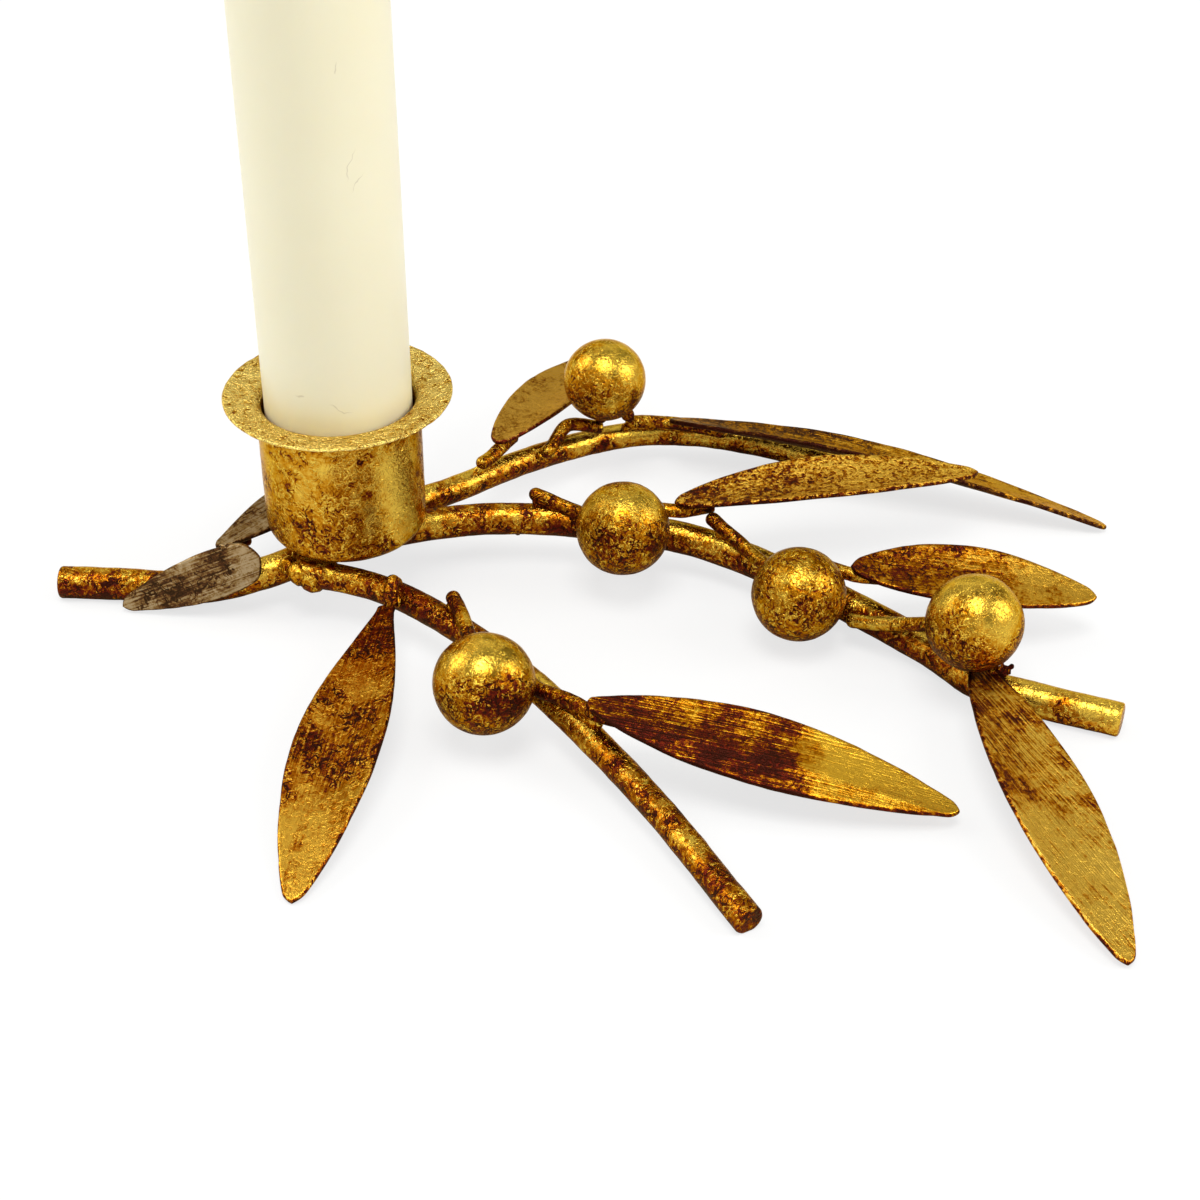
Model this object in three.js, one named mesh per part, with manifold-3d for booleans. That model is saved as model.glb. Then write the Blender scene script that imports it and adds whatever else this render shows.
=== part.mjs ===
// A low candle holder made as a gilded sprig. A spun cup with a flanged rim is welded on three bent steel rods.
// Ball berries and sheet-metal leaves sit on short wires welded across the rods, and a candle stands in the cup.
// Millimetres, +Z up. The sprig is laid out from the cup's axis on the table, with +X along the main stem.

import * as THREE from "three";
import { mergeVertices } from "three/addons/utils/BufferGeometryUtils.js";
import Module from "manifold-3d";

const wasm = await Module();
wasm.setup();

// Stock: round rods, wire, sheet and balls
const STEM_D = 5;
const BRANCH_D = 4.2;
const WIRE_D = 2;
const SHEET = 0.8;
const BERRY_D = 14;

// Joins: the seam left between welded pieces, how far a wire runs into its berry or under its leaf,
// and the flat filed on each rod where it stands on the table
const WELD_SEAM = 0.3;
const BERRY_BORE_DEPTH = 5;
const LEAF_SEAT_START = 1;
const LEAF_SEAT_END = 6;
const FOOT_FLAT = 0.3;

// Cup: its wall turns out into a flange that climbs a little and thins to its edge
const CUP_WALL = 0.8;
const CUP_HEIGHT = 23.8;
const CUP_CORNER_R = 3;
const CUP_RIM_D = 33.8;
const CUP_RIM_BEND_R = 1.6;
const CUP_RIM_RISE = 0.5;
const CUP_RIM_EDGE = 0.5;

// Candle and wick, with the play of the candle across the cup's bore
const CANDLE_D = 21.8;
const CANDLE_PLAY = 0.8;
const CANDLE_LENGTH = 125;
const CANDLE_FOOT_CHAMFER = 1.5;
const CANDLE_SHOULDER_HEIGHT = 9;
const CANDLE_TIP_D = 8;
const WICK_D = 1.8;
const WICK_SET_DEPTH = 8;
const WICK_SHOWN = 8;
const WICK_LEAN = 1.2;

// Leaf ends: half of the cut width at the base and at the tip
const LEAF_BLUNT = 0.9;

// Facets
const ROD_SIDES = 12;
const ROD_STEP = 4;
const WIRE_SIDES = 8;
const WIRE_STEPS = 8;
const TURNED_SIDES = 36;
const CURVE_STEPS = 4;
const BERRY_SEGMENTS = 18;
const BERRY_RINGS = 12;
const LEAF_LENGTH_CELLS = 12;
const LEAF_WIDTH_CELLS = 4;

// Rod routes: x, y and the height of the rod's underside above the table. A branch starts beside the stem.
const STEM_ROUTE = [
  [-44.5, -3, 0],
  [-35.8, -3.5, 0],
  [-22.4, -5.7, 0.9],
  [-12.8, -5.5, 3.3],
  [0, 0, 5.4],
  [17, 6, 5.4],
  [33, 6.8, 4.9],
  [52.8, 3.4, 3.5],
  [69.1, -6.1, 2.1],
  [87.2, -21.7, 0.7],
  [93.5, -29.2, 0.3],
  [101, -32.7, 0],
  [112.5, -37.5, 0],
];
const FRONT_BRANCH_START = { along: 37, roll: 71 };
const FRONT_BRANCH_ROUTE = [
  [4.5, -11.5, 5.5],
  [14, -18.2, 5.3],
  [29.4, -34.9, 4.5],
  [44.9, -56.4, 2.1],
  [57.6, -78.5, 0],
];
const BACK_BRANCH_START = { along: 50, roll: -85 };
const BACK_BRANCH_ROUTE = [
  [14.9, 15.2, 5.6],
  [25.8, 25.2, 4.7],
  [38.6, 34.3, 3.5],
  [46.2, 37.4, 2.9],
  [55.5, 38.4, 2.1],
  [67.7, 36.2, 1],
  [79.8, 30.6, 0],
];

// Places on a rod: millimetres along it, degrees round it from its top towards the front, and lift off its surface.
// A berry touches its rod, or is lifted to sit on the wires under it. Its wire is welded over the rod.
const BERRIES = [
  {
    name: "stem_inner_berry",
    rod: "stem",
    seat: [90.6, 57.6, 0],
    wire: [[75, -12, 0.7], [81.9, 6, 0.2]],
  },
  {
    name: "stem_middle_berry",
    rod: "stem",
    seat: [124.6, 60, 0],
    wire: [[103, -12, 0.8], [111.6, 15, 0]],
  },
  {
    name: "stem_outer_berry",
    rod: "stem",
    seat: [151.9, 6.5, 1],
    wire: [[130.9, 80, 0.2], [137.7, 43, 0.2]],
  },
  {
    name: "front_branch_berry",
    rod: "frontBranch",
    seat: [45.4, 64, 0],
    wire: [[25.4, -28, 0.6], [31.5, 8, 0]],
  },
  {
    name: "back_branch_berry",
    rod: "backBranch",
    seat: [46, 8, WIRE_D + 2 * WELD_SEAM],
    wire: [[33.4, 56, 0], [35.7, 39, 0], [40.1, 4, 1.1], [46, 27, 0.5]],
    restsOnWire: true,
  },
];

// A leaf's place is its base. It points along yaw, rises by pitch and rolls by bank, in degrees.
// Arch is its rise along the middle, dish is how far its edges turn up, widest is a share of its length.
const LEAVES = [
  {
    name: "front_inner_leaf",
    rod: "frontBranch",
    seat: [18.2, 84, -0.2],
    wire: [[16.2, 3, 0.2], [16.9, 35, 0], [17.6, 62, 0], [18.2, 84, 0]],
    wireStaysOnRod: true,
    pose: { yaw: -98.6, pitch: -7.4, bank: 10 },
    form: { length: 55.6, width: 13.3, arch: 0.5, dish: 1.2, widest: 0.5 },
  },
  {
    name: "front_outer_leaf",
    rod: "frontBranch",
    seat: [58.3, -7, 0.1],
    wire: [[49.8, 36, 0], [54.2, 8, 0]],
    pose: { yaw: -14.9, pitch: -9, bank: 4 },
    form: { length: 51.5, width: 12.6, arch: 0.9, dish: 0.8, widest: 0.46 },
  },
  {
    name: "stem_inner_leaf",
    rod: "stem",
    seat: [97.6, -3, 0.5],
    wire: [[88.9, -30, 0], [94, -5, 0.3]],
    pose: { yaw: 9.1, pitch: 0.9, bank: 0 },
    form: { length: 48, width: 11.6, arch: 1.2, dish: 0.9, widest: 0.48 },
  },
  {
    name: "stem_middle_leaf",
    rod: "stem",
    seat: [127.8, -7, 1],
    wire: [[119, -35, 0], [124, -12, 0.6]],
    pose: { yaw: -4.5, pitch: -5.7, bank: 10 },
    form: { length: 36.5, width: 12.3, arch: 0.5, dish: 1, widest: 0.47 },
  },
  {
    name: "stem_outer_leaf",
    rod: "stem",
    seat: [154.2, 27, 0.5],
    pose: { yaw: -78.2, pitch: -5, bank: -15 },
    form: { length: 55.3, width: 13.8, arch: 0.2, dish: 0.9, widest: 0.48 },
  },
  {
    name: "back_inner_leaf",
    rod: "backBranch",
    seat: [25.5, 3, 0.7],
    wire: [[21, 17, 0.2], [24, 8, 0.2]],
    pose: { yaw: 64.8, pitch: -7.2, bank: -1 },
    form: { length: 44.3, width: 10.5, arch: 0.8, dish: 0.9, widest: 0.47 },
  },
  {
    name: "back_outer_leaf",
    rod: "backBranch",
    seat: [58.5, 39, 0.65],
    wire: [[50.9, 21, 0.3], [57, 27, 0], [63, 37, 0], [68.7, 45, 0]],
    wireStaysOnRod: true,
    pose: { yaw: -16, pitch: -6.3, bank: -20 },
    form: { length: 72.8, width: 11.6, arch: 1.8, dish: 1.5, widest: 0.45 },
  },
  {
    name: "stem_foot_front_leaf",
    rod: "stem",
    seat: [32.7, 29, 2.4],
    pose: { yaw: -181.5, pitch: -23.5, bank: -80 },
    form: { length: 23.3, width: 7.9, arch: 0.2, dish: 0.6, widest: 0.32 },
  },
  {
    name: "stem_foot_back_leaf",
    rod: "stem",
    seat: [26.3, -31, 0.2],
    wire: [[22.5, 6, 0]],
    pose: { yaw: 47, pitch: 1, bank: 4 },
    form: { length: 36, width: 8.5, arch: 0.5, dish: 0.8, widest: 0.46 },
  },
];

const GILT = new THREE.MeshStandardMaterial({ color: 0xb58a2e, metalness: 0.9, roughness: 0.38 });
const WORN_GILT = new THREE.MeshStandardMaterial({ color: 0x8f6420, metalness: 0.8, roughness: 0.48 });
const WAX = new THREE.MeshStandardMaterial({ color: 0xf6f1dd, metalness: 0, roughness: 0.45 });
const COTTON = new THREE.MeshStandardMaterial({ color: 0xe9e2d0, metalness: 0, roughness: 0.9 });

const candlestick = new THREE.Group();
const layout = new THREE.Group();
candlestick.add(layout);

// Adds one named piece to a group
function addPiece(parent, name, geometry, material) {
  const mesh = new THREE.Mesh(geometry, material);
  mesh.name = name;
  parent.add(mesh);
  return mesh;
}

// A closed geometry as a solid for cutting
function solidOf(geometry) {
  const bare = geometry.clone();
  bare.deleteAttribute("normal");
  bare.deleteAttribute("uv");
  const merged = mergeVertices(bare, 1e-3);
  const triVerts = new Uint32Array(merged.index.array);
  const vertProperties = merged.attributes.position.array;
  return new wasm.Manifold(new wasm.Mesh({ numProp: 3, vertProperties, triVerts }));
}

function geometryOf(solid) {
  const { vertProperties, triVerts } = solid.getMesh();
  const geometry = new THREE.BufferGeometry();
  geometry.setAttribute("position", new THREE.BufferAttribute(vertProperties, 3));
  geometry.setIndex(new THREE.BufferAttribute(triVerts, 1));
  geometry.computeVertexNormals();
  return geometry;
}

// Round bar swept along a curve, with square cut ends
function bar(curve, diameter, sides, steps) {
  const section = new THREE.Shape().absarc(0, 0, diameter / 2, 0, 2 * Math.PI);
  return new THREE.ExtrudeGeometry(section, { extrudePath: curve, steps, curveSegments: sides / 2 });
}

// A turned profile of radius and height, revolved about +Z
function turned(profile, sides) {
  return new THREE.LatheGeometry(profile, sides).rotateX(Math.PI / 2);
}

// Rods: bent along their routes and filed flat where they meet the table
function makeRod(points, diameter) {
  const curve = new THREE.CatmullRomCurve3(points);
  return { curve, diameter, length: curve.getLength() };
}

function routePoints(route, diameter) {
  return route.map(([x, y, lift]) => new THREE.Vector3(x, y, lift + diameter / 2 - FOOT_FLAT));
}

// The point at a distance along a rod, turned round it from its top by roll, and standing off its surface
function placeOnRod(rod, along, roll, standoff) {
  const share = along / rod.length;
  const tangent = rod.curve.getTangentAt(share);
  const up = new THREE.Vector3(0, 0, 1).projectOnPlane(tangent).normalize();
  const side = new THREE.Vector3().crossVectors(tangent, up);
  const angle = THREE.MathUtils.degToRad(roll);
  const outward = up.multiplyScalar(Math.cos(angle)).addScaledVector(side, Math.sin(angle));
  return rod.curve.getPointAt(share).addScaledVector(outward, rod.diameter / 2 + standoff);
}

function rodGeometry(rod) {
  const steps = Math.round(rod.length / ROD_STEP);
  const table = new THREE.BoxGeometry(4 * rod.length, 4 * rod.length, STEM_D).translate(0, 0, -STEM_D / 2);
  return geometryOf(solidOf(bar(rod.curve, rod.diameter, ROD_SIDES, steps)).subtract(solidOf(table)));
}

const stem = makeRod(routePoints(STEM_ROUTE, STEM_D), STEM_D);

function branchBesideStem({ along, roll }, route) {
  const start = placeOnRod(stem, along, roll, WELD_SEAM + BRANCH_D / 2);
  return makeRod([start, ...routePoints(route, BRANCH_D)], BRANCH_D);
}

const rods = {
  stem,
  frontBranch: branchBesideStem(FRONT_BRANCH_START, FRONT_BRANCH_ROUTE),
  backBranch: branchBesideStem(BACK_BRANCH_START, BACK_BRANCH_ROUTE),
};

addPiece(layout, "main_stem_rod", rodGeometry(rods.stem), GILT);
addPiece(layout, "front_branch_rod", rodGeometry(rods.frontBranch), GILT);
addPiece(layout, "back_branch_rod", rodGeometry(rods.backBranch), GILT);

// Wires and berries
function wirePoints(rod, places) {
  const lie = WELD_SEAM + WIRE_D / 2;
  return places.map(([along, roll, lift]) => placeOnRod(rod, along, roll, lie + lift));
}

function wireGeometry(points, diameter) {
  return bar(new THREE.CatmullRomCurve3(points), diameter, WIRE_SIDES, WIRE_STEPS);
}

for (const berry of BERRIES) {
  const rod = rods[berry.rod];
  const [along, roll, lift] = berry.seat;
  const radius = BERRY_D / 2;
  const centre = placeOnRod(rod, along, roll, WELD_SEAM + radius + lift);
  const ball = new THREE.SphereGeometry(radius, BERRY_SEGMENTS, BERRY_RINGS).translate(...centre);
  const places = wirePoints(rod, berry.wire);
  const wireName = `${berry.name}_wire`;
  if (berry.restsOnWire) {
    addPiece(layout, berry.name, ball, GILT);
    addPiece(layout, wireName, wireGeometry(places, WIRE_D), GILT);
    continue;
  }
  const inward = new THREE.Vector3().subVectors(places.at(-1), centre);
  const wireEnd = centre.clone().add(inward.clone().setLength(radius - BERRY_BORE_DEPTH));
  const boreEnd = centre.clone().add(inward.clone().setLength(radius - BERRY_BORE_DEPTH - WELD_SEAM));
  const bore = wireGeometry([...places, boreEnd], WIRE_D + 2 * WELD_SEAM);
  addPiece(layout, berry.name, geometryOf(solidOf(ball).subtract(solidOf(bore))), GILT);
  addPiece(layout, wireName, wireGeometry([...places, wireEnd], WIRE_D), GILT);
}

// Leaves: thin sheet, dished across and arched along, made from rows of points on both faces
function leafHalfWidth(form, share) {
  const skew = Math.log(0.5) / Math.log(form.widest);
  const swell = Math.max(Math.sin(Math.PI * share ** skew), 0) ** 0.8;
  return LEAF_BLUNT + (form.width / 2 - LEAF_BLUNT) * swell;
}

// Height of the middle of the sheet at a share of the length and a distance off the centre line
function leafHeight(form, share, across) {
  const arch = 4 * form.arch * share * (1 - share);
  return arch + form.dish * (across / (form.width / 2)) ** 2;
}

function leafGeometry(form) {
  const rows = LEAF_LENGTH_CELLS;
  const columns = LEAF_WIDTH_CELLS;
  const perFace = (rows + 1) * (columns + 1);
  const positions = [];
  for (const face of [SHEET / 2, -SHEET / 2]) {
    for (let row = 0; row <= rows; row++) {
      const share = (1 - Math.cos((Math.PI * row) / rows)) / 2;
      const half = leafHalfWidth(form, share);
      for (let column = 0; column <= columns; column++) {
        const across = half * ((2 * column) / columns - 1);
        positions.push(share * form.length, across, leafHeight(form, share, across) + face);
      }
    }
  }
  const id = (row, column) => row * (columns + 1) + column;
  const index = [];
  for (let row = 0; row < rows; row++) {
    for (let column = 0; column < columns; column++) {
      const [a, b] = [id(row, column), id(row + 1, column)];
      const [c, d] = [id(row + 1, column + 1), id(row, column + 1)];
      index.push(a, b, c, a, c, d);
      index.push(perFace + a, perFace + c, perFace + b, perFace + a, perFace + d, perFace + c);
    }
  }
  const rim = [];
  for (let row = 0; row < rows; row++) rim.push(id(row, 0));
  for (let column = 0; column < columns; column++) rim.push(id(rows, column));
  for (let row = rows; row > 0; row--) rim.push(id(row, columns));
  for (let column = columns; column > 0; column--) rim.push(id(0, column));
  rim.forEach((top, k) => {
    const next = rim[(k + 1) % rim.length];
    index.push(perFace + top, perFace + next, next, perFace + top, next, top);
  });
  const geometry = new THREE.BufferGeometry();
  geometry.setAttribute("position", new THREE.Float32BufferAttribute(positions, 3));
  geometry.setIndex(index);
  geometry.computeVertexNormals();
  return geometry;
}

for (const leaf of LEAVES) {
  const rod = rods[leaf.rod];
  const [along, roll, lift] = leaf.seat;
  const onWire = leaf.wire ? WIRE_D + WELD_SEAM : 0;
  const mesh = addPiece(layout, leaf.name, leafGeometry(leaf.form), WORN_GILT);
  mesh.position.copy(placeOnRod(rod, along, roll, WELD_SEAM + onWire + SHEET / 2 + lift));
  const { yaw, pitch, bank } = leaf.pose;
  const [turn, slope, tilt] = [yaw, -pitch, bank].map(THREE.MathUtils.degToRad);
  mesh.rotation.set(tilt, slope, turn, "ZYX");
  mesh.updateMatrix();
  if (!leaf.wire) continue;
  const under = SHEET / 2 + WELD_SEAM + WIRE_D / 2;
  const seats = [LEAF_SEAT_START, LEAF_SEAT_END].map((reach) => {
    const height = leafHeight(leaf.form, reach / leaf.form.length, 0) - under;
    return new THREE.Vector3(reach, 0, height).applyMatrix4(mesh.matrix);
  });
  const places = wirePoints(rod, leaf.wire);
  const route = leaf.wireStaysOnRod ? places : [...places, ...seats];
  addPiece(layout, `${leaf.name}_wire`, wireGeometry(route, WIRE_D), GILT);
}

// Cup: spun sheet with a rounded foot and a flanged rim, standing on the stem
const cupBoreR = (CANDLE_D + CANDLE_PLAY) / 2;
const cupOuterR = cupBoreR + CUP_WALL;
const cupRimR = CUP_RIM_D / 2;
const cupInnerCornerR = CUP_CORNER_R - CUP_WALL;
const rimBendX = cupBoreR + CUP_RIM_BEND_R;
const rimBendZ = CUP_HEIGHT - CUP_RIM_RISE - CUP_RIM_BEND_R;
const cupProfile = new THREE.Path()
  .moveTo(0, 0)
  .lineTo(cupOuterR - CUP_CORNER_R, 0)
  .absarc(cupOuterR - CUP_CORNER_R, CUP_CORNER_R, CUP_CORNER_R, -Math.PI / 2, 0, false)
  .absarc(rimBendX, rimBendZ, CUP_RIM_BEND_R - CUP_WALL, Math.PI, Math.PI / 2, true)
  .lineTo(cupRimR, CUP_HEIGHT - CUP_RIM_EDGE)
  .lineTo(cupRimR, CUP_HEIGHT)
  .absarc(rimBendX, rimBendZ, CUP_RIM_BEND_R, Math.PI / 2, Math.PI, false)
  .lineTo(cupBoreR, CUP_CORNER_R)
  .absarc(cupBoreR - cupInnerCornerR, CUP_CORNER_R, cupInnerCornerR, 0, -Math.PI / 2, true)
  .lineTo(0, CUP_WALL);

// The highest point of the stem under the cup carries it
const stemPoints = rods.stem.curve.getSpacedPoints(Math.round(rods.stem.length));
const underCup = stemPoints.filter((point) => Math.hypot(point.x, point.y) < cupOuterR);
const stemTop = Math.max(...underCup.map((point) => point.z)) + STEM_D / 2;
const cup = new THREE.Group();
cup.position.z = stemTop + WELD_SEAM;
layout.add(cup);
addPiece(cup, "candle_cup", turned(cupProfile.getPoints(CURVE_STEPS), TURNED_SIDES), GILT);

// Candle: a straight candle with a chamfered foot and a rounded shoulder, and its wick set in the top
const candleR = CANDLE_D / 2;
const tipR = CANDLE_TIP_D / 2;
const wickHoleR = WICK_D / 2 + WELD_SEAM;
const shoulderStart = CANDLE_LENGTH - CANDLE_SHOULDER_HEIGHT;
const candleProfile = new THREE.Path()
  .moveTo(0, 0)
  .lineTo(candleR - CANDLE_FOOT_CHAMFER, 0)
  .lineTo(candleR, CANDLE_FOOT_CHAMFER)
  .lineTo(candleR, shoulderStart)
  .quadraticCurveTo(candleR, CANDLE_LENGTH, tipR, CANDLE_LENGTH)
  .lineTo(wickHoleR, CANDLE_LENGTH)
  .lineTo(wickHoleR, CANDLE_LENGTH - WICK_SET_DEPTH)
  .lineTo(0, CANDLE_LENGTH - WICK_SET_DEPTH);
const wickCurve = new THREE.CatmullRomCurve3([
  new THREE.Vector3(0, 0, CANDLE_LENGTH - WICK_SET_DEPTH + WELD_SEAM),
  new THREE.Vector3(0, 0, CANDLE_LENGTH - WICK_SET_DEPTH / 2),
  new THREE.Vector3(0, 0, CANDLE_LENGTH),
  new THREE.Vector3(WICK_LEAN, 0, CANDLE_LENGTH + WICK_SHOWN),
]);
const candle = new THREE.Group();
candle.position.z = CUP_WALL + WELD_SEAM;
cup.add(candle);
addPiece(candle, "candle", turned(candleProfile.getPoints(CURVE_STEPS), TURNED_SIDES), WAX);
addPiece(candle, "candle_wick", bar(wickCurve, WICK_D, WIRE_SIDES, WIRE_STEPS), COTTON);

// The origin is the middle of the whole footprint, on the table
candlestick.updateMatrixWorld(true);
const extent = new THREE.Box3().setFromObject(candlestick, true);
const middle = extent.getCenter(new THREE.Vector3());
layout.position.set(-middle.x, -middle.y, -extent.min.z);

export default candlestick;
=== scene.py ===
import math
from functools import partial

import bmesh
import bpy
import numpy as np
from mathutils import Matrix, Vector, noise


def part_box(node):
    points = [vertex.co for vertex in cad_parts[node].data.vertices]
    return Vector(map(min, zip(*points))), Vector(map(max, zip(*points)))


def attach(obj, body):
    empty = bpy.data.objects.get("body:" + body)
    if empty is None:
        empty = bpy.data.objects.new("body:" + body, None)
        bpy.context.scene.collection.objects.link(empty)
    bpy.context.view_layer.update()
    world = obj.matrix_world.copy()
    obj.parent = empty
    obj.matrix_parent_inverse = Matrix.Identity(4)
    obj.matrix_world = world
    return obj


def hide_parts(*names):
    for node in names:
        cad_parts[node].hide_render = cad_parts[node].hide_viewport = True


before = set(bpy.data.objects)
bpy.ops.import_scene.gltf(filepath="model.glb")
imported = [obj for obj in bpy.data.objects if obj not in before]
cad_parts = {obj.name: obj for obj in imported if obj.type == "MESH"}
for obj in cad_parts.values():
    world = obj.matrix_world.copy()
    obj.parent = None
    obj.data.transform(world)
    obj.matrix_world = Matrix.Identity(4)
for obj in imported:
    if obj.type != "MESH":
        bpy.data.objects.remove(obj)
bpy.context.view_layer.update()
print("frame loaded:", len(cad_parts), "nodes")

# The sprig is laid out in mm from the cup's axis on the table
mm = 0.001
cupLow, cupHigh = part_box("candle_cup")
cupAxis = np.array([(cupLow.x + cupHigh.x) / 2, (cupLow.y + cupHigh.y) / 2, 0.0])
cupFoot = cupLow.z / mm
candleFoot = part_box("candle")[0].z / mm

# Bar and sheet that the sprig is made of, in mm
stock = {
    "stem": 5.0,
    "branch": 4.2,
    "wire": 2.0,
    "sheet": 0.8,
    "berry": 14.0,
    "seam": 0.3,  # left between welded pieces, closed by the beads
    "footFlat": 0.3,  # filed off each rod where it stands
    "boreDepth": 5.0,  # a wire's reach into its berry
    "leafSeats": (1.0, 6.0),  # where a wire meets the underside of its leaf
}
seedStep = (7.3, 3.1, 5.7)  # how far a seed moves a field of lumps
sight = 0.2  # mm looked ahead and behind for a direction


# Helpers for points and lines
def unit(vectors):
    vectors = np.asarray(vectors, float)
    return vectors / np.linalg.norm(vectors, axis=-1, keepdims=True)


def lumps(points, size, seed):
    shift = Vector([step * seed for step in seedStep])
    return np.array([noise.noise(Vector(p) / size + shift) for p in np.asarray(points)])


def measured(track):
    reach = np.concatenate([[0], np.cumsum(np.linalg.norm(np.diff(track, axis=0), axis=1))])
    return {"track": track, "reach": reach, "length": reach[-1]}


def bend(points, samples=60):
    # a smooth centripetal line through the points, sampled densely, with the distance to each sample
    p = np.asarray(points, float)
    p = np.vstack([2 * p[0] - p[1], p, 2 * p[-1] - p[-2]])
    steps = np.maximum(np.linalg.norm(np.diff(p, axis=0), axis=1), 1e-4) ** 0.5
    t = np.linspace(0, 1, samples, endpoint=False)[:, None]
    runs = []
    for k in range(1, len(p) - 2):
        a, b, c = steps[k - 1], steps[k], steps[k + 1]
        rise = p[k + 1] - p[k]
        out = ((p[k] - p[k - 1]) / a - (p[k + 1] - p[k - 1]) / (a + b) + rise / b) * b
        into = (rise / b - (p[k + 2] - p[k]) / (b + c) + (p[k + 2] - p[k + 1]) / c) * b
        runs.append(p[k] + out * t + (3 * rise - 2 * out - into) * t ** 2 + (out + into - 2 * rise) * t ** 3)
    return measured(np.vstack(runs + [p[-2:-1]]))


def spot(line, distance):
    return np.stack([np.interp(distance, line["reach"], line["track"][:, k]) for k in range(3)], axis=-1)


def heading(line, distance):
    return unit(spot(line, np.add(distance, sight)) - spot(line, np.subtract(distance, sight)))


def nearestOn(rod, point):
    return rod["track"][np.linalg.norm(rod["track"] - point, axis=1).argmin()]


def placeOnRod(rod, along, roll, standoff):
    # degrees round the rod from its top towards the front, standing off its surface
    forward = heading(rod, along)
    up = unit(np.array([0, 0, 1.0]) - forward * forward[2])
    side = np.cross(forward, up)
    angle = math.radians(roll)
    outward = up * math.cos(angle) + side * math.sin(angle)
    return spot(rod, along) + outward * (rod["thick"] / 2 + standoff)


def nodeOf(name):
    # stemInnerBerry takes the place of stem_inner_berry
    return "".join("_" + letter.lower() if letter.isupper() else letter for letter in name)


def addObject(name, data):
    made = bpy.data.objects.new(name, data)
    bpy.context.scene.collection.objects.link(made)
    return made


# One piece: a closed mesh in the frame, riding on its body
def addPiece(name, points, faces, finish, node=None, body="sprig", marks=None, sharp=None):
    mesh = bpy.data.meshes.new(name)
    points = np.array(points)
    points[:, 2] = np.maximum(points[:, 2], 0.0)  # filed flat on the table
    mesh.from_pydata((points * mm + cupAxis).tolist(), [], faces)
    for key, values in (marks or {}).items():
        layer = mesh.attributes.new(key, "FLOAT", "POINT")
        layer.data.foreach_set("value", np.asarray(values, np.float32))
    work = bmesh.new()
    work.from_mesh(mesh)
    bmesh.ops.recalc_face_normals(work, faces=work.faces)
    work.to_mesh(mesh)
    work.free()
    mesh.shade_smooth()
    if sharp:
        mesh.set_sharp_from_angle(angle=math.radians(sharp))
    mesh.materials.append(finish)
    piece = addObject(name, mesh)
    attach(piece, body)
    if node:
        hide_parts(node)
    return piece


def bandFaces(loops):
    # quads from each loop of point numbers to the next
    faces = []
    for a, b in zip(loops, loops[1:]):
        faces += np.stack([a, np.roll(a, -1), np.roll(b, -1), b], 1).tolist()
    return faces


def tubeFaces(rings, sides):
    # ring after ring, closed at both ends by the two points that come last
    loops = np.arange(rings * sides).reshape(rings, sides)
    first, last = loops[0], loops[-1]
    ends = [np.roll(first, -1), first, np.full(sides, rings * sides),
            last, np.roll(last, -1), np.full(sides, rings * sides + 1)]
    return bandFaces(loops) + np.stack(ends, 1).reshape(-1, 3).tolist()


def spin(profile, sides):
    # a profile of radius and height that starts and ends on the axis
    turn = np.linspace(0, 2 * math.pi, sides, endpoint=False)
    middle = profile[1:-1]
    rings = [np.stack([r * np.cos(turn), r * np.sin(turn), np.full(sides, z)], 1) for r, z in middle]
    points = np.vstack(rings + [[[0, 0, profile[0][1]], [0, 0, profile[-1][1]]]])
    return points, tubeFaces(len(middle), sides)


# Colours and nodes
def srgb(code):
    parts = [int(code[k:k + 2], 16) / 255 for k in (1, 3, 5)]
    return tuple(c / 12.92 if c <= 0.04045 else ((c + 0.055) / 1.055) ** 2.4 for c in parts) + (1.0,)


def addNode(tree, kind, inputs=(), out=0, **settings):
    # inputs by name or in order, values and sockets alike
    # (a MapRange in order: its value, the range it comes from, the range it goes to)
    made = tree.nodes.new("ShaderNode" + kind)
    for key, value in settings.items():
        setattr(made, key, value)
    for key, value in inputs.items() if isinstance(inputs, dict) else enumerate(inputs):
        if isinstance(value, bpy.types.NodeSocket):
            tree.links.new(value, made.inputs[key])
        else:
            made.inputs[key].default_value = value
    return made.outputs[out] if len(made.outputs) else made


def startNodes(owner):
    # a material or the world, cleared, with what adds a node to it
    owner.use_nodes = True
    owner.node_tree.nodes.clear()
    return partial(addNode, owner.node_tree)


def newMaterial(name):
    material = bpy.data.materials.new(name)
    return material, startNodes(material)


def placeInMm(add):
    place = add("TexCoord", out="Object")
    return add("VectorMath", {0: place, "Scale": 1 / mm}, operation="SCALE")


def addUp(add, total, terms):
    # each value times its amount, on top of the total
    for value, amount in terms:
        total = add("Math", [value, amount, total], operation="MULTIPLY_ADD")
    return total


def setStops(ramp, stops):
    elements = ramp.node.color_ramp.elements  # a new ramp has two
    for k, (at, colour) in enumerate(stops):
        stop = elements[k] if k < 2 else elements.new(at)
        stop.position = at
        stop.color = colour


def allOver(wear):
    return [(0.0, wear), (1.0, wear)]


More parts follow.
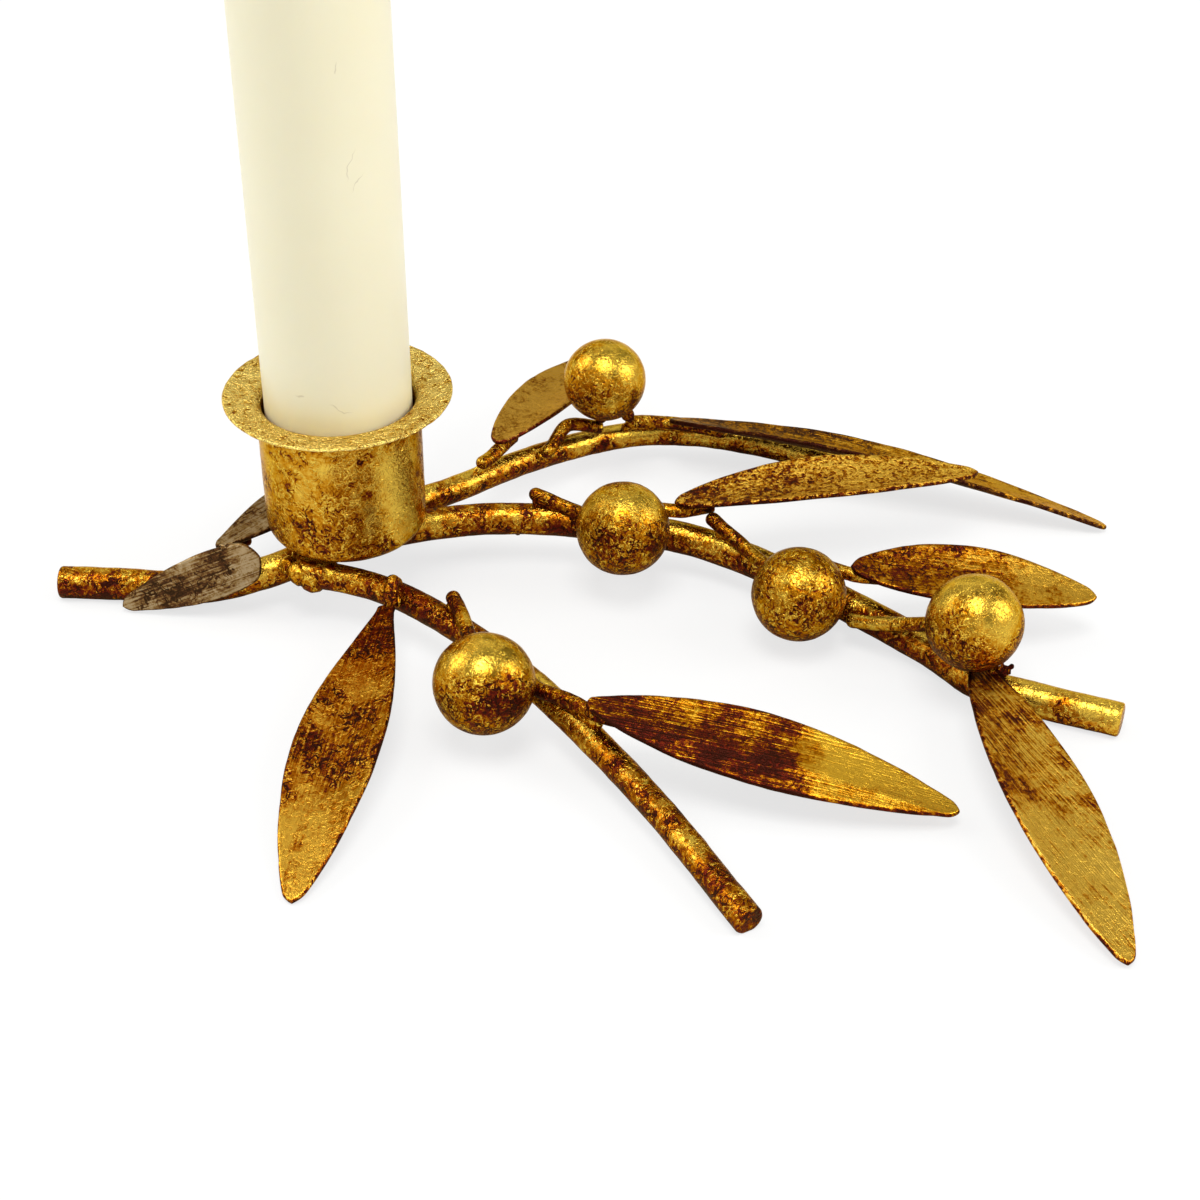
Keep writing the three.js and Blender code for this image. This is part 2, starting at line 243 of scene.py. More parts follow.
# Gold leaf laid over a red-brown ground on steel and rubbed back: pale flakes, amber where the leaf is thin,
# and dark red specks where the ground is bare, with painted light: paler faces that look up and pale glint
# lines
gilding = {
    "pale": "#d6ae3e",  # leaf where it is thick
    "gold": "#ae720c",
    "ochre": "#864806",  # leaf rubbed thin
    "maroon": "#5e1206",  # the ground
    "umber": "#300a04",  # the ground where dirt sits
    "edge": "#ecd4ac",  # gold stays warm where it turns away
    "stops": {"umber": 0.04, "maroon": 0.3, "ochre": 0.42, "gold": 0.56, "pale": 0.78},
    "broadSize": 6.0,  # mm across a worn patch
    "flakeSize": 1.3,  # mm across a flake
    "speckSize": 0.42,  # mm, real pinholes are finer and are drawn coarse so that they show
    "wormSize": 1.25,  # mm between the crooked lines where the leaf has cracked and lifted
    "paintedGlintSize": 0.8,  # share of that between the painted glint lines
    "paintedGlintShift": 50.0,  # mm that sets them apart from the cracks
    "broad": 1.2,  # how far each pattern moves the tone
    "flakes": 1.0,
    "specks": 0.7,
    "streaks": 0.0,
    "cracks": 0.6,  # how much darker a crooked line is
    "paintedGlints": 0.26,  # how much brighter a painted glint line is
    "calm": 0.45,  # share of the fine patterns where the leaf is whole
    "wild": 1.1,  # and where it is worn
    "wornBefore": 0.08,  # tone by which they come before the colour turns
    "wholeCracks": 0.2,  # share of the cracks where the leaf is whole
    "streakSize": (8.0, 0.3, 0.1),  # mm along and across a brush line, and between seeds
    "streakTurn": 0.0,  # degrees from the leaf's length
    "paintedTopLight": 0.2,  # painted light: faces that look up are painted paler and faces that look down darker
    "wear": allOver(0.45),  # along the piece, 0 is bright and 1 is bare
    "patches": [],  # point in mm, radius in mm, added wear
    "patchCore": 0.3,  # share of the radius where the wear is full
    "paintedRimShade": 0.0,  # painted shade added on a cut edge, which is drawn darker
    "paintedSideShade": None,  # painted shade: mm across a leaf where it starts and is full, and how much darker
    "roughness": (0.15, 0.33),  # leaf, bare ground
    "groundMetal": 0.85,
    "relief": 0.2,  # mm that the fine patterns stand out
    "seed": 0.0,
    "seedShift": (31.0, 17.0, 11.0),  # mm
}
leafGrain = {  # for each pattern its size, detail, roughness and twist
    "broad": ("broadSize", 3.0, 0.55, 0.0),
    "flakes": ("flakeSize", 4.0, 0.7, 0.6),
    "specks": ("speckSize", 2.0, 0.6, 0.0),
}
streakGrain = {"Scale": 1.0, "Detail": 2.0, "Roughness": 0.6}
crooked = {
    "twist": 0.8,
    "breakScale": 0.7,  # the breaks lie wider apart than the lines
    "rise": (0.445, 0.475),  # levels between which a line comes up
    "fall": (0.555, 0.525),  # and goes down
    "breaks": (0.42, 0.52),
}


def crookedLines(add, place, size, shift):
    # short worm-like lines: the level line of one soft pattern, broken up by another
    moved = add("VectorMath", [place, (shift, shift, shift)])
    wander = add("TexNoise", {
        "Vector": moved, "Scale": 1 / size, "Detail": 1.0, "Distortion": crooked["twist"]})
    breaks = add("TexNoise", {"Vector": moved, "Scale": crooked["breakScale"] / size, "Detail": 1.0})
    line = 1.0
    for pattern, levels in ((wander, "rise"), (wander, "fall"), (breaks, "breaks")):
        side = add("MapRange", [pattern, *crooked[levels]])
        line = add("Math", [side, line], operation="MULTIPLY")
    return line


def goldLeafOnSteel(name, finish):
    look = {**gilding, **finish}
    stops = look["stops"]
    material, add = newMaterial(name)
    inMm = placeInMm(add)
    shift = tuple(step * look["seed"] for step in look["seedShift"])
    moved = add("VectorMath", [inMm, shift])
    patterns = {}
    for key, (size, detail, rough, twist) in leafGrain.items():
        patterns[key] = add("TexNoise", {
            "Vector": moved, "Scale": 1 / look[size], "Detail": detail, "Roughness": rough,
            "Distortion": twist})
    broad = patterns.pop("broad")
    if look["streaks"]:
        lengthwise = add("Attribute", out="Fac", attribute_name="leafX")
        crosswise = add("Attribute", out="Fac", attribute_name="leafY")
        sheet = add("CombineXYZ", [lengthwise, crosswise, look["seed"]])
        turn = math.radians(look["streakTurn"])
        strokes = add("Mapping", {
            "Vector": sheet, "Rotation": (0, 0, turn), "Scale": look["streakSize"]}, vector_type="TEXTURE")
        patterns["streaks"] = add("TexNoise", {"Vector": strokes, **streakGrain})
    cracks = crookedLines(add, moved, look["wormSize"], 0.0)
    # painted highlight: pale crooked lines that stand in for glints on the leaf
    paintedGlints = crookedLines(add, moved, look["paintedGlintSize"] * look["wormSize"], look["paintedGlintShift"])

    # How much leaf is left, from the wear along the piece and its patches, with painted light: paler faces
    # that look up, painted shade on cut edges and on one side of a leaf
    share = add("Attribute", out="Fac", attribute_name="share")
    level = add("ValToRGB", {"Fac": share})
    setStops(level, [(at, (wear, wear, wear, 1.0)) for at, wear in look["wear"]])
    # painted light: the height of the surface normal paints faces that look up paler and faces that look
    # down darker
    facing = add("NewGeometry", out="Normal")
    upward = add("SeparateXYZ", [facing], out="Z")
    terms = [(level, -1.0), (broad, look["broad"]), (upward, look["paintedTopLight"])]
    for point, radius, amount in look["patches"]:
        centre = tuple(np.array(point) + cupAxis / mm)
        far = add("VectorMath", [inMm, centre], out="Value", operation="DISTANCE")
        near = add("MapRange", [far, radius, look["patchCore"] * radius], interpolation_type="SMOOTHSTEP")
        terms.append((near, -amount))
    # painted shade: the cut edge of a leaf is drawn darker
    if look["paintedRimShade"]:
        rim = add("Attribute", out="Fac", attribute_name="rim")
        terms.append((rim, -look["paintedRimShade"]))
    # painted shade across one side of a leaf
    if look["paintedSideShade"]:
        begin, full, amount = look["paintedSideShade"]
        side = add("MapRange", [crosswise, begin, full])
        terms.append((side, -amount))
    left = addUp(add, 1 - look["broad"] / 2, terms)

    # The fine patterns show most where the leaf is worn
    early = look["wornBefore"]
    thin = add("MapRange", [left, stops["gold"] + early, stops["maroon"] + early])
    middle = -sum(look[key] for key in patterns) / 2
    fine = addUp(add, middle, [(pattern, look[key]) for key, pattern in patterns.items()])
    mottle = add("MapRange", [thin, 0, 1, look["calm"], look["wild"]])
    crack = add("MapRange", [thin, 0, 1, -look["cracks"] * look["wholeCracks"], -look["cracks"]])
    tone = addUp(add, left, [(fine, mottle), (paintedGlints, look["paintedGlints"]), (cracks, crack)])
    leaf = add("ValToRGB", {"Fac": tone})
    setStops(leaf, [(at, srgb(look[key])) for key, at in stops.items()])
    bare = add("MapRange", [tone, stops["ochre"], stops["maroon"]])
    gloss = add("MapRange", [bare, 0, 1, *look["roughness"]])
    metal = add("MapRange", [bare, 0, 1, 1, look["groundMetal"]])
    standing = add("Math", [tone, left], operation="SUBTRACT")
    bumps = add("Bump", {"Height": standing, "Strength": 1.0, "Distance": look["relief"] * mm})
    shader = add("BsdfPrincipled", {
        "Base Color": leaf, "Metallic": metal, "Roughness": gloss, "Normal": bumps,
        "Specular Tint": srgb(look["edge"])})
    add("OutputMaterial", {"Surface": shader})
    return material


# Bent rods: larger flakes, with painted shade on the underside
drawn = {"flakeSize": 1.7, "paintedTopLight": 0.28, "gold": "#aa660a", "ochre": "#803e08", "roughness": (0.2, 0.33)}
rodSettings = {  # routes give x, y and the height of the underside
    "stem": {
        "node": "main_stem_rod", "thick": stock["stem"],
        "route": [
            (-44.5, -3, 0), (-35.8, -3.5, 0), (-22.4, -5.7, 0.9), (-12.8, -5.5, 3.3), (0, 0, 5.4),
            (17, 6, 5.4), (33, 6.8, 4.9), (52.8, 3.4, 3.5), (69.1, -6.1, 2.1), (87.2, -21.7, 0.7),
            (93.5, -29.2, 0.3), (101, -32.7, 0), (112.5, -37.5, 0)],
        "finish": {
            "wear": [(0.0, 0.68), (0.13, 0.68), (0.2, 0.56), (0.3, 0.66), (0.45, 0.64), (0.58, 0.58),
                     (0.8, 0.68), (0.87, 0.74), (0.91, 0.48), (1.0, 0.4)],
            "seed": 1.0},
        "patches": [  # along and round the rod, reach in mm, added wear
            (58, -25, 4.0, 0.2), (63, -25, 4.0, 0.2), (68, -20, 4.0, 0.2), (74, -10, 4.0, 0.15),
            (62, 70, 5.0, -0.14), (72, 70, 5.0, -0.14)],
    },
    "frontBranch": {
        "node": "front_branch_rod", "thick": stock["branch"],
        "start": (37.0, 71.0),  # along and round the stem
        "route": [
            (4.5, -11.5, 5.5), (14, -18.2, 5.3), (29.4, -34.9, 4.5), (44.9, -56.4, 2.1), (57.6, -78.5, 0)],
        "finish": {
            "wear": [(0.0, 0.6), (0.14, 0.66), (0.2, 0.92), (0.36, 0.88), (0.5, 0.52), (0.62, 0.56),
                     (0.75, 0.76), (1.0, 0.82)],
            "seed": 2.0},
    },
    "backBranch": {
        "node": "back_branch_rod", "thick": stock["branch"],
        "start": (50.0, -85.0),
        "route": [
            (14.9, 15.2, 5.6), (25.8, 25.2, 4.7), (38.6, 34.3, 3.5), (46.2, 37.4, 2.9), (55.5, 38.4, 2.1),
            (67.7, 36.2, 1), (79.8, 30.6, 0)],
        "finish": {"wear": [(0.0, 0.5), (0.25, 0.54), (0.45, 0.43), (1.0, 0.5)], "seed": 3.0},
    },
}
barMesh = {
    "fewest": 8,  # rings
    "ripple": 0.07, "rippleSize": 3.2,  # mm
    "fineRipple": 0.6, "fineSize": 1.1,  # share of the ripple, mm
    "fineSeed": 4,
    "chamfer": 0.35,  # mm
    "chamferRings": ((1.0, 1.3), (0.7, 0.4)),  # how far out and how far in, shares of it
    "faceRing": 0.35,  # share of the radius, a ring on the cut face
    "dome": (72, 54, 36, 18),  # degrees, the rings of a rounded end
    "coat": 0.2,  # mm that ground and leaf add to a thin wire
    "sharp": 35,
}
rodMesh = {"sides": 36, "step": 0.7, "ends": ("cut", "cut")}  # mm between rings
wireMesh = {"sides": 20, "step": 0.35, "ends": ("round", "cut")}


def sweepBar(line, thick, seed, sides, step, ends):
    # stations hold the distance along the line, a push past its end and a share of the radius
    radius = thick / 2
    cut = barMesh["chamfer"]
    arc = np.radians(barMesh["dome"])
    square = [(out * cut, 1 - back * cut / radius) for out, back in barMesh["chamferRings"]]
    rims = {
        "round": [(radius * math.sin(a), math.cos(a)) for a in arc],
        "cut": [(cut, barMesh["faceRing"]), *square],
    }
    setBack = {"round": radius, "cut": cut}
    crown = {"round": radius - radius * math.sin(arc[0]), "cut": 0}
    low = setBack[ends[0]]
    high = line["length"] - setBack[ends[1]]
    run = np.linspace(low, high, max(int((high - low) / step), barMesh["fewest"]))
    stations = [(low, -push, size) for push, size in rims[ends[0]]]
    stations += [(d, 0.0, 1.0) for d in run]
    stations += [(high, push, size) for push, size in reversed(rims[ends[1]])]
    distance, push, size = (np.array(column) for column in zip(*stations))
    forward = heading(line, distance)
    centres = spot(line, distance) + forward * push[:, None]
    across = np.zeros_like(forward)
    guide = np.array([0.0, 0.0, 1.0])
    for k, ahead in enumerate(forward):
        guide = unit(guide - ahead * guide.dot(ahead))
        across[k] = guide
    beside = np.cross(forward, across)
    turn = np.linspace(0, 2 * math.pi, sides, endpoint=False)
    spokes = across[:, None] * np.cos(turn)[None, :, None] + beside[:, None] * np.sin(turn)[None, :, None]
    flat = (centres[:, None] + spokes * radius * size[:, None, None]).reshape(-1, 3)
    fine = barMesh["fineRipple"] * lumps(flat, barMesh["fineSize"], seed + barMesh["fineSeed"])
    wave = barMesh["ripple"] * (lumps(flat, barMesh["rippleSize"], seed) + fine)
    points = flat + spokes.reshape(-1, 3) * (wave * np.repeat(size, sides))[:, None]
    tips = [centres[0] - forward[0] * crown[ends[0]], centres[-1] + forward[-1] * crown[ends[1]]]
    points = np.vstack([points, tips])
    share = np.repeat(np.clip((distance + push) / line["length"], 0, 1), sides)
    return points, tubeFaces(len(stations), sides), np.concatenate([share, [0.0, 1.0]])


rods = {}
for key, rod in rodSettings.items():
    route = [(x, y, lift + rod["thick"] / 2 - stock["footFlat"]) for x, y, lift in rod["route"]]
    if "start" in rod:
        along, roll = rod["start"]
        route = [placeOnRod(rods["stem"], along, roll, stock["seam"] + rod["thick"] / 2), *route]
    rods[key] = {**bend(route), "thick": rod["thick"]}
    points, faces, share = sweepBar(rods[key], rod["thick"], rod["finish"]["seed"], **rodMesh)
    patches = [(placeOnRod(rods[key], along, roll, 0.0), reach, wear)
               for along, roll, reach, wear in rod.get("patches", [])]
    look = goldLeafOnSteel(key + "GoldLeafOnSteelRod", {**drawn, **rod["finish"], "patches": patches})
    addPiece(key, points, faces, look, rod["node"], marks={"share": share},
             sharp=barMesh["sharp"])
print("rods bent:", ", ".join(rods))


# Berries on their wires: fine wrinkles, the leaf pressed on to a ball
pressed = {"flakeSize": 0.9, "wormSize": 1.05, "broad": 0.9, "cracks": 0.8, "paintedGlints": 0.34}
whole = {"calm": 0.25, "wholeCracks": 0.1}  # berries that kept most of their leaf
berrySettings = {  # seats and wires run along and round the rod, with a lift in mm
    "stemInnerBerry": {
        "rod": "stem", "seat": (90.6, 57.6, 0.0), "swell": 0.15,
        "wire": [(75, -12, 0.7), (82.6, 30, -0.4)],
        "finish": {"wear": allOver(0.57), "broad": 0.7, "seed": 11.0},
        "patches": [  # direction from the middle, reach in mm, added wear
            ((0.48, -0.25, 0.84), 5.0, -0.14), ((0.64, -0.77, 0.05), 1.6, 0.25),
            ((-0.43, -0.89, 0.16), 3.4, 0.12)],
    },
    "stemMiddleBerry": {
        "rod": "stem", "seat": (124.6, 60, 0.0),
        "wire": [(102.6, -12, 1.0), (112.2, 36, -0.3)],
        "finish": {"wear": allOver(0.58), "seed": 12.0},
    },
    "stemOuterBerry": {
        "rod": "stem", "seat": (151.9, 6.5, 1.0),
        "wire": [(130.9, 80, 0.2), (137.7, 43, 0.2)],
        "finish": {"wear": allOver(0.52), "paintedTopLight": 0.34, **whole, "seed": 13.0},
    },
    "frontBranchBerry": {
        "rod": "frontBranch", "seat": (45.4, 64, 0.0), "swell": 0.2,
        "wire": [(25.4, -28, 0.6), (30.2, 8, 0)],
        "finish": {"wear": allOver(0.52), **whole, "seed": 14.0},
        "patches": [
            ((0.50, -0.83, 0.24), 5.5, 0.3), ((-0.1, -0.2, 0.97), 6.0, -0.08),
            ((-0.55, -0.8, -0.25), 3.5, -0.12)],
    },
    "backBranchBerry": {
        "rod": "backBranch", "seat": (46, 8, stock["wire"] + stock["seam"] + 0.3),
        "wire": [(33.4, 56, 0), (35.7, 39, 0), (40.1, 4, 1.1), (46, 27, 0.5)],
        "restsOnWire": True, "swell": -0.3, "raise": 0.35,  # mm off the radius, and up
        "finish": {"wear": allOver(0.5), "paintedTopLight": 0.26, **whole, "ochre": "#95590a", "seed": 15.0},
    },
}
ballMesh = {"segments": 72, "rings": 48, "dents": 0.07, "dentSize": 4.5, "grain": 0.03, "grainSize": 1.1}
wireFinish = {"wear": [(0.0, 0.68), (1.0, 0.62)], "seed": 21.0}
wirePatches = [  # rod, along and round it, reach in mm, added wear
    ("frontBranch", 27.0, -15.0, 6.0, 0.25), ("stem", 135.0, 55.0, 10.0, -0.25)]
wireFinish["patches"] = [(placeOnRod(rods[key], along, roll, stock["wire"]), reach, wear)
                         for key, along, roll, reach, wear in wirePatches]
wireGold = goldLeafOnSteel("goldLeafOnSteelWire", wireFinish)
welds = {key: [] for key in rods}  # drops of weld metal for each rod: point and radius in mm
weldDrop = {
    "bead": 0.8, "collar": 1.25, "contact": 1.5, "leaf": 0.9,  # radii in mm
    "leafLift": 0.8,  # mm from a wire's middle to the drop under its leaf
    "reach": 0.6,  # widest gap that a bead fills
    "start": 0.3, "step": 0.5,
}


def layWire(places, rod):
    lie = stock["seam"] + stock["wire"] / 2
    return [placeOnRod(rod, along, roll, lie + lift) for along, roll, lift in places]


def beadBetween(line, thick, rod):
    # drops in the groove where a bar lies against a rod
    drops = []
    for point in spot(line, np.arange(weldDrop["start"], line["length"], weldDrop["step"])):
        foot = nearestOn(rod, point)
        gap = np.linalg.norm(point - foot) - (thick + rod["thick"]) / 2
        if gap < weldDrop["reach"]:
            drops.append((foot + unit(point - foot) * (rod["thick"] + gap) / 2, weldDrop["bead"]))
    return drops


def makeWire(name, route, seed, rodKey):
    line = bend(route)
    thick = stock["wire"] + barMesh["coat"]
    points, faces, share = sweepBar(line, thick, seed, **wireMesh)
    addPiece(name, points, faces, wireGold, nodeOf(name), marks={"share": share},
             sharp=barMesh["sharp"])
    welds[rodKey] += beadBetween(line, thick, rods[rodKey])


def beatBall(centre, radius, seed):
    tilt = np.linspace(0, math.pi, ballMesh["rings"] + 1)
    away, faces = spin([(math.sin(t), math.cos(t)) for t in tilt], ballMesh["segments"])
    dents = ballMesh["dents"] * lumps(away * radius, ballMesh["dentSize"], seed)
    beaten = dents + ballMesh["grain"] * lumps(away * radius, ballMesh["grainSize"], seed)
    return centre + away * (radius + beaten)[:, None], faces


for name, berry in berrySettings.items():
    rod = rods[berry["rod"]]
    seed = berry["finish"]["seed"]
    along, roll, lift = berry["seat"]
    radius = stock["berry"] / 2
    centre = placeOnRod(rod, along, roll, stock["seam"] + radius + lift)
    radius += berry.get("swell", 0.0)
    centre[2] += berry.get("raise", 0.0)
    route = layWire(berry["wire"], rod)
    if not berry.get("restsOnWire"):
        route.append(centre + unit(route[-1] - centre) * (radius - stock["boreDepth"]))
        for toward, size in ((route[-2], "collar"), (nearestOn(rod, centre), "contact")):
            welds[berry["rod"]].append((centre + unit(toward - centre) * radius, weldDrop[size]))
    makeWire(name + "Wire", route, seed, berry["rod"])
    points, faces = beatBall(centre, radius, seed)
    patches = [(centre + radius * unit(side), reach, wear) for side, reach, wear in berry.get("patches", [])]
    look = goldLeafOnSteel(name + "GoldLeafOnSteelBall", {**pressed, **berry["finish"], "patches": patches})
    addPiece(name, points, faces, look, nodeOf(name), marks={"share": np.zeros(len(points))})
print("berries set:", len(berrySettings))


# Leaves cut from sheet and dished, brushed along
# the leaves carry painted shade on their cut edges and pale painted glint lines
brushed = {
    "streaks": 1.4, "specks": 0.55, "flakes": 1.0, "paintedGlints": 0.12, "relief": 0.13, "roughness": (0.28, 0.38),
    "calm": 0.8, "ochre": "#844606", "gold": "#b26c0a", "pale": "#daa636", "paintedRimShade": 0.26}
# painted shade: grey-brown colours for the two foot leaves, which stand in shade
paintedShadeGreyBrown = {"pale": "#a58e6a", "gold": "#86693e", "ochre": "#6b4a28", "maroon": "#4a2c18", "umber": "#33200f"}
# Seat: along and round the rod with a lift. Pose: turn, slope and roll in degrees. Form: length, width,
# arch and dish in mm, and the share of the length where it is widest. Base: reach behind the seat, half
# width and corner radius in mm, and straightness. Patch: mm along and across, reach in mm, added wear
plainBase = (0.0, 0.9, 1.3, 0.8)
leafSettings = {
    "frontInnerLeaf": {
        "rod": "frontBranch", "seat": (18.2, 84, -0.2),
        "wire": [(16.2, 3, 0.2), (16.9, 35, 0), (17.6, 62, 0), (18.2, 84, 0)], "wireStaysOnRod": True,
        "pose": (-98.6, -7.4, 10), "form": (55.6, 13.3, 0.5, 1.2, 0.5), "base": (1.2, 1.4, 0.5, 1.1),
        "finish": {
            "wear": [(0.0, 0.94), (0.1, 0.88), (0.16, 0.7), (0.22, 0.56), (0.34, 0.56), (0.4, 0.65),
                     (0.6, 0.65), (0.7, 0.54), (0.85, 0.48), (1.0, 0.4)],
            "broad": 0.5, "paintedGlints": 0.24, "streaks": 1.3, "specks": 0.8, "cracks": 1.2, "wholeCracks": 0.1,
            "calm": 0.3, "gold": "#aa6008", "ochre": "#7e3e06", "seed": 31.0},
        "patches": [
            (7.8, 0.6, 4.5, 0.1), (18.6, -3.6, 3.4, 0.2), (22.4, 2.3, 3.8, 0.2), (27.8, -5.6, 4.5, 0.16),
            (32.3, 0.7, 5.0, 0.2), (37.8, -5.8, 3.0, 0.16), (24.2, -3.3, 2.6, -0.12),
            (46.7, -1.4, 1.6, 0.2)],
    },
    "frontOuterLeaf": {
        "rod": "frontBranch", "seat": (58.3, -7, 0.1),
        "wire": [(46.8, 38, 0), (49.8, 36, 0), (54.2, 8, 0)],  # starts inside the berry
        "pose": (-14.9, -9, 4), "form": (51.5, 12.6, 0.9, 0.8, 0.46), "base": (0.6, 1.3, 0.5, 0.9),
        "crease": 0.35,
        "finish": {
            "wear": [(0.0, 0.78), (0.15, 0.82), (0.35, 0.82), (0.52, 0.8), (0.59, 0.56), (0.63, 0.36),
                     (1.0, 0.26)],
            "streaks": 1.5, "calm": 0.5, "cracks": 0.2, "gold": "#bc760c", "pale": "#e6b232",
            # painted shade: the near strip that bends down is drawn darker
            "streakTurn": 4.0, "paintedSideShade": (-1.2, -2.4, 0.14), "seed": 32.0},
        "patches": [(18.4, -2.4, 6.5, 0.16), (25.5, -1.8, 5.5, 0.2)],
    },
    "stemInnerLeaf": {
        "rod": "stem", "seat": (97.6, -3, 0.5), "wire": [(88.9, -30, 0), (94, -5, 0.3)],
        "pose": (9.1, 0.9, 0), "form": (48, 11.6, 1.2, 0.9, 0.48),
        "finish": {
            "wear": [(0.0, 0.74), (0.2, 0.68), (0.45, 0.62), (0.6, 0.55), (1.0, 0.4)],
            "streaks": 0.6, "flakes": 2.4, "flakeSize": 0.9, "broad": 0.7, "calm": 1.1, "paintedGlints": 0.4,
            "pale": "#e6b644", "seed": 33.0},
    },
    "stemMiddleLeaf": {
        "rod": "stem", "seat": (127.8, -7, 1), "wire": [(119, -35, 0), (124, -12, 0.6)],
        "pose": (-4.5, -5.7, 10), "form": (36.5, 12.3, 0.5, 1, 0.47),
        "finish": {
            "wear": [(0.0, 0.76), (0.45, 0.7), (0.65, 0.57), (0.8, 0.44), (1.0, 0.34)],
            "streaks": 0.6, "seed": 34.0},
    },
    "stemOuterLeaf": {
        "rod": "stem", "seat": (154.2, 27, 0.5), "wire": None,
        "pose": (-78.2, -5, -15), "form": (55.3, 13.8, 0.2, 0.9, 0.48), "base": (2.0, 2.0, 0.6, 0.8),
        "finish": {
            "wear": [(0.0, 1.0), (0.05, 0.9), (0.1, 0.64), (0.25, 0.52), (0.5, 0.46), (0.6, 0.34),
                     (0.85, 0.36), (1.0, 0.4)],
            "streaks": 1.8, "flakes": 1.5, "cracks": 0.25, "streakTurn": 18.0,
            "ochre": "#96500a", "gold": "#c67c14", "pale": "#e8ba48", "seed": 35.0},
        "patches": [
            (11.0, -5.0, 4.5, 0.16), (18.7, -5.2, 6.0, 0.2), (26.0, -4.8, 5.0, 0.22), (22.7, 1.2, 4.5, 0.1),
            (34.8, 3.3, 6.0, -0.08)],
    },
    "backInnerLeaf": {
        "rod": "backBranch", "seat": (25.5, 3, 0.7), "wire": [(21, 17, 0.2), (24, 8, 0.2)],
        "pose": (64.8, -7.2, -1), "form": (44.3, 10.5, 0.8, 0.9, 0.47),
        "finish": {
            "wear": [(0.0, 0.5), (1.0, 0.42)], "ochre": "#7a461a", "gold": "#a27028", "pale": "#c8983e",
            "streaks": 0.3, "flakes": 1.4, "calm": 1.0, "cracks": 0.3, "paintedGlints": 0.1, "seed": 36.0},
    },
    "backOuterLeaf": {
        "rod": "backBranch", "seat": (58.5, 39, 0.65),
        "wire": [(50.9, 21, 0.3), (57, 27, 0), (63, 37, 0), (68.7, 45, 0)], "wireStaysOnRod": True,
        "pose": (-16, -6.3, -20), "form": (72.8, 11.6, 1.8, 1.5, 0.45),
        "finish": {
            # painted shade: the near cut edge of this leaf is drawn darker still
            "wear": [(0.0, 0.82), (0.35, 0.78), (0.5, 0.62), (0.7, 0.5), (1.0, 0.44)], "paintedRimShade": 0.35,
            "flakes": 1.5, "calm": 1.0, "maroon": "#54300f", "ochre": "#7a4c16", "seed": 37.0},
    },
    "stemFootFrontLeaf": {
        "rod": "stem", "seat": (32.7, 29, 2.4), "wire": None, "slot": "worn_leaf",
        "pose": (-181.5, -23.5, -80), "form": (23.3, 7.9, 0.2, 0.6, 0.32), "base": (0.0, 2.0, 2.0, 0.8),
        "finish": {**paintedShadeGreyBrown, "wear": [(0.0, 0.38), (0.25, 0.5), (1.0, 0.5)], "seed": 38.0},
    },
    "stemFootBackLeaf": {
        "rod": "stem", "seat": (26.3, -31, 0.2), "wire": [(22.5, 6, 0)], "slot": "worn_leaf",
        "pose": (47, 1, 4), "form": (36, 8.5, 0.5, 0.8, 0.46), "base": (0.0, 0.9, 1.0, 1.3),
        "finish": {**paintedShadeGreyBrown, "wear": allOver(0.56), "seed": 39.0},
    },
}
leafMesh = {
    "rows": 90, "columns": 24,
    "endGap": 0.06,  # radians left off the even spacing at each end
    "tip": 0.9, "tipRound": 1.3, "tipStraight": 0.8,
    "ragged": 0.10, "raggedSize": 2.2,  # mm that the shears strayed, mm along the edge
    "handShift": 9.0,  # mm that sets one edge's strays apart from the other's
    "beaten": 0.16, "beatSize": 6.5,
    "creaseAt": 0.15,  # share of the width
    "inset": 0.7,  # the cut edge is rounded: share of half the sheet
    "rounding": (0.7, 0.0, -0.7),
    "narrowest": 0.05,
}


def leafHalfWidth(form, base, x):
    length, width, arch, dish, widest = form
    heel, half, corner, straight = base
    share = np.clip(x / length, 0, 1)
    swell = np.maximum(np.sin(math.pi * share ** (math.log(0.5) / math.log(widest))), 0)
    nearBase = share < widest
    end = np.where(nearBase, half, leafMesh["tip"])
    spread = end + (width / 2 - end) * swell ** np.where(nearBase, straight, leafMesh["tipStraight"])
    for toEnd in ((x + heel) / corner, (length - x) / leafMesh["tipRound"]):
        spread = spread * np.sqrt(1 - np.clip(1 - toEnd, 0, 1) ** 2)
    return spread


def leafHeight(leaf, x, y, seed):
    length, width, arch, dish, widest = leaf["form"]
    share = x / length
    flat = 4 * arch * share * (1 - share) + dish * (y / (width / 2)) ** 2
    folded = np.maximum(-y - leafMesh["creaseAt"] * width, 0)  # the near third bends down
    flat = flat - leaf.get("crease", 0.0) * folded
    spots = np.stack([x, y, np.zeros_like(x)], 1)
    return flat + leafMesh["beaten"] * lumps(spots, leafMesh["beatSize"], seed)


